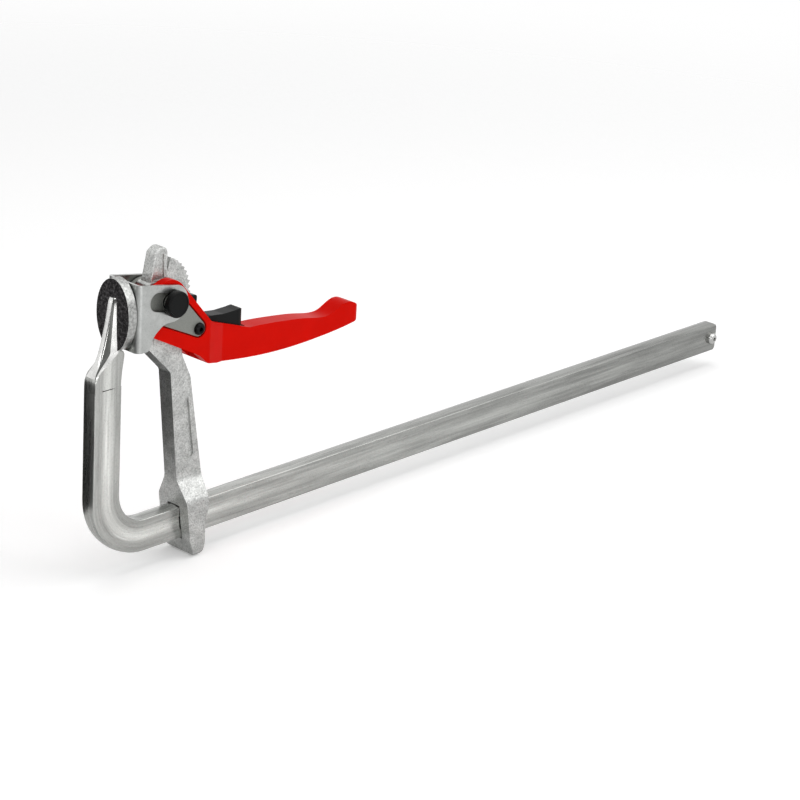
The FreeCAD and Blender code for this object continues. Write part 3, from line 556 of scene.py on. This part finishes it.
# Rail: its pinched neck, a ring a row, in mm: height, front, half width at the seam, back,
# half width of the rib
NECK = (
    (-42.0, -2.92, 4.74, -22.38, 4.64),
    (-40.9, -2.9, 4.75, -22.4, 4.65),
    (-38.0, -2.7, 4.75, -22.4, 4.62),
    (-35.0, -2.4, 4.75, -22.3, 4.45),
    (-33.0, -2.2, 4.75, -21.8, 4.0),
    (-31.0, -2.0, 4.75, -21.0, 3.4),
    (-28.0, -1.5, 4.75, -18.9, 2.75),
    (-24.3, -0.8, 4.75, -17.0, 2.4),
    (-20.6, -0.5, 4.70, -15.8, 2.3),
    (-19.0, -6.4, 4.60, -15.2, 2.25),
    (-12.0, -6.4, 4.00, -13.1, 2.2),
    (-4.0, -6.4, 3.60, -11.3, 2.1),
    (4.0, -6.4, 3.40, -9.8, 2.0),
    (8.2, -6.4, 3.20, -9.1, 1.9),
    (10.3, -6.4, 2.60, -7.7, 1.5))
NECK_POINTS = 24              # corners of each ring
BAND_CORNERS = (2, 3, 4, 5, 17, 18, 19, 20)        # ring corners along the rolled bands
SEAM_CORNERS = (6, 16)        # ring corners along the seams, which stay crisp
PRESSED_ROW = 4               # from this ring on, the seams stay crisp and the faces take their painted highlight and painted shade
VALLEYS = ({7, 8}, {8, 9}, {13, 14}, {14, 15})     # between rib and flank, where shade is painted in as a darker colour
HIGHLIGHTED_FLANKS = ({6, 7}, {9, 10}, {10, 11}, {11, 12}, {12, 13}, {15, 16})   # faces given a painted highlight in place of the flanks' reflection
DRAWN_SLOT, FLANK_HIGHLIGHT_SLOT, VALLEY_SHADE_SLOT = range(3)  # the neck's materials: drawn zinc, painted highlight, painted shade
CUT_HEIGHT = -41.1 * MM       # above this the neck is new
NECK_ANGLE = math.radians(50)

# One ring of the neck, in mm
BAND = ((-7.8, 0.0), (-9.4, 0.45), (-15.9, 0.45), (-17.5, 0.0))   # the rolled band: place, depth
BAND_RUN_OUT = 3.0            # the band grows to its depth over this length in front of the seam
FRONT_EDGE = 0.7              # chamfer of the front edges
FRONT_SWELL = 0.5             # the front and the back stand out by this in their middles
BACK_SWELL = 0.4
SEAM_PLACE = -21.5            # the seam crosses this place at this height, and leans by this
SEAM_HEIGHT = -31.5
SEAM_LEAN = 1.5
SEAM_TO_FRONT = 0.2           # the seam stays this far from the front and from the back
SEAM_TO_BACK = 0.9
FLANK_MIDDLE = 0.28           # half way along the flank, this share of its width past the rib is left
# Corners of the rib: distance from the back and its largest share of the flank, step outwards
RIB = ((2.4, 0.38, 0.1), (0.9, 0.2, -0.15), (0.2, 0.05, -1.0))


def neck_ring(height, front, side, back, rib):
    """Corners of one ring, round the neck from its near front."""
    # the seam runs slantwise over the wide face, from the outer corner up to the jaw
    leaning = SEAM_PLACE + (height - SEAM_HEIGHT) * SEAM_LEAN
    seam = min(front - SEAM_TO_FRONT, max(back + SEAM_TO_BACK, leaning))
    flank = seam - back
    corner = front - min(FRONT_EDGE, (front - seam) / 2)
    near = [(front, side - FRONT_EDGE), (corner, side)]
    for place, depth in BAND:
        x = min(max(place, seam), corner)
        near.append((x, side - depth * min(1.0, (x - seam) / BAND_RUN_OUT)))
    near += [(seam, side), (back + flank / 2, rib + (side - rib) * FLANK_MIDDLE)]
    near += [(back + min(reach, flank * share), rib + step) for reach, share, step in RIB]
    far = list(reversed(near))
    ring = [(x, -y) for x, y in near] + [(back - BACK_SWELL, 0)] + far + [(front + FRONT_SWELL, 0)]
    return [Vector((x, y, height)) * MM for x, y in ring]


def neck_crease(low, high):
    """How crisp an edge of the neck stays: its ends fully, the seam nearly, the band in part."""
    upwards = high - low == NECK_POINTS
    if low < NECK_POINTS or low >= (len(NECK) - 1) * NECK_POINTS:
        return 1.0
    if upwards and low % NECK_POINTS in SEAM_CORNERS and low >= PRESSED_ROW * NECK_POINTS:
        return 0.95
    if upwards and low % NECK_POINTS in BAND_CORNERS:
        return 0.6
    return 0.0


def pinched_neck(materials):
    """Neck as it leaves the pinching die: rings bridged, then smoothed, with a painted highlight on
    its flanks and a painted shade in its valleys.
    """
    neck = bridged("pinched_neck", [neck_ring(*row) for row in NECK])
    bpy.ops.object.mode_set(mode="OBJECT")
    for material in materials:
        neck.data.materials.append(material)
    for face in neck.data.polygons:
        corners = {corner % NECK_POINTS for corner in face.vertices}
        if len(corners) == 2 and min(face.vertices) >= PRESSED_ROW * NECK_POINTS:
            # the valleys beside the rib take the painted shade
            if corners in VALLEYS:
                face.material_index = VALLEY_SHADE_SLOT
            # the flanks take the painted highlight
            else:
                face.material_index = FLANK_HIGHLIGHT_SLOT if corners in HIGHLIGHTED_FLANKS else DRAWN_SLOT
    crease = neck.data.attributes.new("crease_edge", "FLOAT", "EDGE")
    for edge in neck.data.edges:
        crease.data[edge.index].value = neck_crease(*sorted(edge.vertices))
    smooth = neck.modifiers.new("smooth", "SUBSURF")
    smooth.levels = 3
    smooth.render_levels = 3
    bpy.ops.object.modifier_apply(modifier=smooth.name)
    bpy.ops.object.shade_smooth_by_angle(angle=NECK_ANGLE)
    return neck


class CLAMP_OT_rail(bpy.types.Operator):
    """Finish the rail and shape its pinched neck"""
    bl_idname = "clamp.rail"
    bl_label = "Rail"

    def execute(self, context):
        colours = context.scene.clamp_colours
        drawn = cold_drawn_zinc(colours.zinc)
        rail = merged_copy("rail", "drawn_rail")
        bpy.ops.mesh.select_all(action="SELECT")
        bpy.ops.mesh.bisect(plane_co=(0, 0, CUT_HEIGHT), plane_no=(0, 0, 1), use_fill=True,
                            clear_outer=True)
        dress(rail, drawn)
        # the neck's flanks get a painted highlight and its valleys a painted shade
        neck = pinched_neck([drawn, bright_sheet(colours.flank_highlight, "painted_flank_highlight", 0.2),
                             bright_sheet(colours.scale, "painted_valley_shade", 0.34)])
        for piece in (rail, neck):
            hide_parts("rail")
            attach(piece, "rail_and_fixed_jaw")
        return {"FINISHED"}


class CLAMP_OT_end_stop(bpy.types.Operator):
    """Finish the turned pieces: end-stop screw, pivot pin and axle sleeve"""
    bl_idname = "clamp.end_stop"
    bl_label = "End stop"

    def execute(self, context):
        turned = bright_sheet(context.scene.clamp_colours.turned, "turned_zinc", 0.2)
        use(turned, "end_stop_screw", "pivot_pin", "axle_sleeve")
        return {"FINISHED"}


class CLAMP_OT_jaw(bpy.types.Operator):
    """Round and finish the fixed jaw"""
    bl_idname = "clamp.jaw"
    bl_label = "Fixed jaw"

    def execute(self, context):
        sizes, colours = context.scene.clamp_sizes, context.scene.clamp_colours
        material = forged_jaw(colours.jaw_rim, colours.jaw_back)
        jaw = rounded_copy("fixed_jaw", "forged_jaw_plate", material, sizes.jaw_edge, segments=3)
        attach(jaw, "rail_and_fixed_jaw")
        return {"FINISHED"}


# Arm: its toothed sector
TEETH_HALF_WIDTH = 2.6 * MM
TEETH_REACH = 19.0 * MM       # from the pivot outwards
TEETH_LOWEST = -13.0 * MM


def on_teeth(point):
    """True on the toothed sector, whose edges stay sharp."""
    reach = math.hypot(point.x - PIVOT.x, point.z - PIVOT.z)
    return abs(point.y) < TEETH_HALF_WIDTH and reach > TEETH_REACH and point.z > TEETH_LOWEST


class CLAMP_OT_arm(bpy.types.Operator):
    """Round the cast edges of the sliding arm and finish it"""
    bl_idname = "clamp.arm"
    bl_label = "Sliding arm"

    def execute(self, context):
        sizes, colours = context.scene.clamp_sizes, context.scene.clamp_colours
        arm = rounded_copy("sliding_arm", "cast_sliding_arm", cast_zinc(colours.casting),
                           sizes.casting_edge, sharp=30, spared=on_teeth)
        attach(arm, "arm")
        return {"FINISHED"}


class CLAMP_OT_bracket(bpy.types.Operator):
    """Round the punched edges of the pressure bracket and finish it"""
    bl_idname = "clamp.bracket"
    bl_label = "Pressure bracket"

    def execute(self, context):
        sizes, colours = context.scene.clamp_sizes, context.scene.clamp_colours
        bracket = rounded_copy("pressure_bracket", "bent_pressure_bracket",
                               bright_sheet(colours.sheet, "bright_sheet", 0.3),
                               sizes.sheet_edge)
        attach(bracket, "bracket")
        return {"FINISHED"}


# Handle: its far cheek lies beyond this side, and rises no higher than this
FAR_CHEEK_SIDE = 2.0 * MM
FAR_CHEEK_TOP = 10.5 * MM


def lower_far_cheek(handle):
    """Press the far cheek's arc down level with the bracket's top, as the photograph has it."""
    pick_vertices(handle, [corner.index for corner in handle.data.vertices
                           if corner.co.y > FAR_CHEEK_SIDE and corner.co.z > FAR_CHEEK_TOP])
    bpy.ops.mesh.select_mode(type="VERT")
    bpy.ops.transform.resize(value=(1, 1, 0), center_override=(0, 0, FAR_CHEEK_TOP))
    bpy.ops.object.mode_set(mode="OBJECT")


class CLAMP_OT_handle(bpy.types.Operator):
    """Round the cast edges of the handle and finish it"""
    bl_idname = "clamp.handle"
    bl_label = "Handle"

    def execute(self, context):
        sizes, colours = context.scene.clamp_sizes, context.scene.clamp_colours
        handle = rounded_copy("handle", "enamelled_handle", gloss_enamel(colours.enamel),
                              sizes.handle_edge, segments=3, sharp=30)
        lower_far_cheek(handle)
        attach(handle, "lever")
        return {"FINISHED"}


# Pin cap from its inner end outwards, in mm: radius, distance in from the outer face
CAP = ((4.2, 4.0), (7.3, 4.0), (7.6, 3.7), (7.6, 0.9), (7.5, 0.45), (7.2, 0.12), (6.8, 0.0),
       (6.35, 0.0), (6.15, 0.28))
CAP_POINTS = 64


def ringed_cap(node, name, material):
    """Cap with a rounded rim and a shallow step inside it."""
    face = max((corner.co.y for corner in NODES[node].data.vertices), key=abs)
    way = math.copysign(1.0, face)
    turns = [2 * math.pi * i / CAP_POINTS for i in range(CAP_POINTS)]
    rows = []
    for radius, depth in CAP:
        rows.append([Vector((PIVOT.x + radius * MM * math.cos(turn), face - way * depth * MM,
                             PIVOT.z + radius * MM * math.sin(turn))) for turn in turns])
    cap = bridged(name, rows)
    dress(cap, material)
    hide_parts(node)
    return cap


def seated_plate(node, name, material, gap):
    """Plate a little smaller than its pocket, so that the gap round it shows dark."""
    plate = merged_copy(node, name)
    pick_faces(plate, lambda face: abs(face.normal.y) < 0.5)
    bpy.ops.transform.shrink_fatten(value=-gap, use_even_offset=True)
    dress(plate, material)
    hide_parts(node)
    return plate


class CLAMP_OT_plates(bpy.types.Operator):
    """Finish the link plates, their screws, the rings and the pivot's caps"""
    bl_idname = "clamp.plates"
    bl_label = "Plates, screws and caps"

    def execute(self, context):
        sizes, colours = context.scene.clamp_sizes, context.scene.clamp_colours
        grey_plate = phosphated_plate(colours.plate)
        plastic = moulded_black(colours.black)
        for side in ("near", "far"):
            plate = seated_plate("link_plate_" + side, "loose_link_plate_" + side, grey_plate,
                                 sizes.plate_gap)
            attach(plate, "lever")
            cap = ringed_cap("pin_cap_" + side, "ringed_cap_" + side, plastic)
            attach(cap, "arm")
        trigger = rounded_copy("release_trigger", "moulded_trigger", plastic, sizes.trigger_edge,
                               sharp=30)
        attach(trigger, "trigger")
        use(blackened_steel(), "axle_screw_near", "axle_screw_far", "pawl", "trigger_pin",
            "trigger_spring", "pin_rings")
        return {"FINISHED"}


# Studio, in metres. Lamps: name, place, aim, side of the square, watts
LAMPS = (
    ("key", (1.1, -1.2, 1.2), (0.15, 0.0, -0.05), 1.7, 13.0),
    ("top", (0.2, 0.1, 1.6), (0.2, 0.0, -0.05), 1.4, 9.0),
    ("left", (-1.3, -0.5, 0.6), (0.1, 0.0, -0.05), 0.5, 3.0),
    ("front", (-0.25, -1.0, -0.02), (0.0, 0.0, -0.05), 0.26, 1.3))
# Black cards: name, place, aim, length and width, turn in its own plane
LOW_CARD_Z = LOWEST + 0.004
CARDS = (
    ("low_card_left", (-0.50, 0.22, LOW_CARD_Z), (-0.50, 0.22, 1.0), (0.9, 0.62), -0.28),
    ("low_card_back", (-0.13, 0.50, LOW_CARD_Z), (-0.13, 0.50, 1.0), (0.34, 0.9), 0.30),
    ("camera_card", (-0.62, -0.68, 0.12), (0.0, 0.0, 0.0), (0.6, 0.5), 0.0))
FLOOR_RADIUS = 2.6
FLOOR_FADE = (0.75, 1.7)      # distances from the middle between which the floor fades out


def white_ground():
    """White floor that fades out at its rim, where the white of the world takes over."""
    material, tree = new_material("white_ground")
    place = add(tree, "ShaderNodeTexCoord")
    reach = add(tree, "ShaderNodeVectorMath", {"operation": "LENGTH"}, {0: place.outputs["Object"]})
    fade = add(tree, "ShaderNodeMapRange",
               {"interpolation_type": "SMOOTHSTEP", "From Min": FLOOR_FADE[0],
                "From Max": FLOOR_FADE[1]}, {"Value": reach.outputs["Value"]})
    # a faint glow that only the camera sees brings the lit floor up to the world's white
    path = add(tree, "ShaderNodeLightPath")
    glow = add(tree, "ShaderNodeMath", {"operation": "MULTIPLY", 1: 0.16},
               {0: path.outputs["Is Camera Ray"]})
    shader = add(tree, "ShaderNodeBsdfPrincipled",
                 {"Base Color": grey(0.96), "Roughness": 0.9, "Specular IOR Level": 0.1,
                  "Emission Color": grey(1.0)}, {"Emission Strength": glow.outputs[0]})
    clear = add(tree, "ShaderNodeBsdfTransparent")
    mixed = add(tree, "ShaderNodeMixShader", {},
                {0: fade.outputs["Result"], 1: shader.outputs["BSDF"], 2: clear.outputs["BSDF"]})
    add(tree, "ShaderNodeOutputMaterial", {}, {"Surface": mixed.outputs["Shader"]})
    return material


def black_card():
    """Matt black card: what polished metal mirrors as its dark faces."""
    material, tree = new_material("black_card")
    shader = add(tree, "ShaderNodeBsdfPrincipled", {"Base Color": grey(0.012), "Roughness": 0.9})
    add(tree, "ShaderNodeOutputMaterial", {}, {"Surface": shader.outputs["BSDF"]})
    return material


def add_floor(drop):
    """Round floor below the clamp."""
    bpy.ops.object.select_all(action="DESELECT")
    bpy.ops.mesh.primitive_circle_add(vertices=96, radius=FLOOR_RADIUS, fill_type="NGON",
                                      location=(0, 0, LOWEST - drop))
    floor = bpy.context.object
    floor.name = "floor"
    floor.data.materials.append(white_ground())


def add_card(material, name, place, target, size, turn):
    """Card that only reflections show: the camera, diffuse light and shadows pass it by."""
    bpy.ops.mesh.primitive_plane_add(size=1.0, location=place)
    card = bpy.context.object
    card.name = name
    card.scale = (*size, 1.0)
    way = Vector(target) - Vector(place)
    facing = way.to_track_quat("Z", "Y").to_matrix() @ Matrix.Rotation(turn, 3, "Z")
    card.rotation_euler = facing.to_euler()
    card.data.materials.append(material)
    card.visible_camera = False
    card.visible_diffuse = False
    card.visible_shadow = False


def make_world(scene):
    """White to the eye and in reflections, a plain level as light."""
    world = bpy.data.worlds.new("studio")
    scene.world = world
    world.use_nodes = True
    tree = world.node_tree
    tree.nodes.clear()
    path = add(tree, "ShaderNodeLightPath")
    mirrored = add(tree, "ShaderNodeMath", {"operation": "MAXIMUM"},
                   {0: path.outputs["Is Glossy Ray"], 1: path.outputs["Is Transmission Ray"]})
    seen = add(tree, "ShaderNodeMath", {"operation": "MAXIMUM"},
               {0: path.outputs["Is Camera Ray"], 1: mirrored.outputs[0]})
    strength = add(tree, "ShaderNodeMapRange", {"To Min": 0.5, "To Max": 1.0},
                   {"Value": seen.outputs[0]})
    background = add(tree, "ShaderNodeBackground", {"Color": grey(1.0)},
                     {"Strength": strength.outputs["Result"]})
    add(tree, "ShaderNodeOutputWorld", {}, {"Surface": background.outputs["Background"]})


def add_lamp(name, place, target, size, watts):
    """Square soft lamp, turned to its target."""
    bpy.ops.object.light_add(type="AREA", location=place)
    lamp = bpy.context.object
    lamp.name = name
    lamp.data.shape = "SQUARE"
    lamp.data.size = size
    lamp.data.energy = watts
    way = Vector(target) - Vector(place)
    lamp.rotation_euler = way.to_track_quat("-Z", "Y").to_euler()


def add_camera(scene, sizes):
    """Camera at the photograph's place, with its turn, tilt and roll."""
    turn, tilt, roll = sizes.camera_azimuth, sizes.camera_elevation, sizes.camera_roll
    level = Vector((math.sin(turn), math.cos(turn), 0))
    forward = level * math.cos(tilt) - Vector((0, 0, math.sin(tilt)))
    right = Vector((math.cos(turn), -math.sin(turn), 0))
    up = right.cross(forward)
    rolled_right = right * math.cos(roll) + up * math.sin(roll)
    rolled_up = up * math.cos(roll) - right * math.sin(roll)
    axes = Matrix((rolled_right, rolled_up, -forward)).transposed().to_4x4()
    bpy.ops.object.camera_add()
    camera = bpy.context.object
    camera.name = "camera"
    camera.matrix_world = Matrix.Translation(sizes.camera_place) @ axes
    camera.data.lens = sizes.focal_length
    camera.data.sensor_width = 36.0
    camera.data.clip_start = 0.05
    camera.data.clip_end = 20.0
    scene.camera = camera


class CLAMP_OT_studio(bpy.types.Operator):
    """Floor, black cards, world, lamps and camera"""
    bl_idname = "clamp.studio"
    bl_label = "Studio"

    def execute(self, context):
        sizes = context.scene.clamp_sizes
        add_floor(sizes.floor_drop)
        material = black_card()
        for card in CARDS:
            add_card(material, *card)
        make_world(context.scene)
        for lamp in LAMPS:
            add_lamp(*lamp)
        add_camera(context.scene, sizes)
        return {"FINISHED"}


class CLAMP_PT_panel(bpy.types.Panel):
    """Buttons for each part of the clamp, with its sizes and colours"""
    bl_idname = "CLAMP_PT_panel"
    bl_label = "Lever bar clamp"
    bl_space_type = "VIEW_3D"
    bl_region_type = "UI"
    bl_category = "Clamp"

    def draw(self, context):
        layout = self.layout
        for operator in OPERATORS:
            layout.operator(operator.bl_idname)
        for group in (context.scene.clamp_sizes, context.scene.clamp_colours):
            for name in group.bl_rna.properties.keys():
                if name not in ("rna_type", "name"):
                    layout.prop(group, name)


OPERATORS = (CLAMP_OT_rail, CLAMP_OT_end_stop, CLAMP_OT_jaw, CLAMP_OT_arm, CLAMP_OT_bracket,
             CLAMP_OT_handle, CLAMP_OT_plates, CLAMP_OT_studio)
CLASSES = (CLAMP_PG_sizes, CLAMP_PG_colours, *OPERATORS, CLAMP_PT_panel)


def register():
    for item in CLASSES:
        bpy.utils.register_class(item)
    bpy.types.Scene.clamp_sizes = PointerProperty(type=CLAMP_PG_sizes)
    bpy.types.Scene.clamp_colours = PointerProperty(type=CLAMP_PG_colours)


def unregister():
    del bpy.types.Scene.clamp_colours
    del bpy.types.Scene.clamp_sizes
    for item in reversed(CLASSES):
        bpy.utils.unregister_class(item)


def main():
    register()
    bpy.context.scene.view_settings.view_transform = "Standard"
    bpy.ops.clamp.rail()
    bpy.ops.clamp.end_stop()
    bpy.ops.clamp.jaw()
    bpy.ops.clamp.arm()
    bpy.ops.clamp.bracket()
    bpy.ops.clamp.handle()
    bpy.ops.clamp.plates()
    bpy.ops.clamp.studio()


if __name__ == "__main__":
    main()
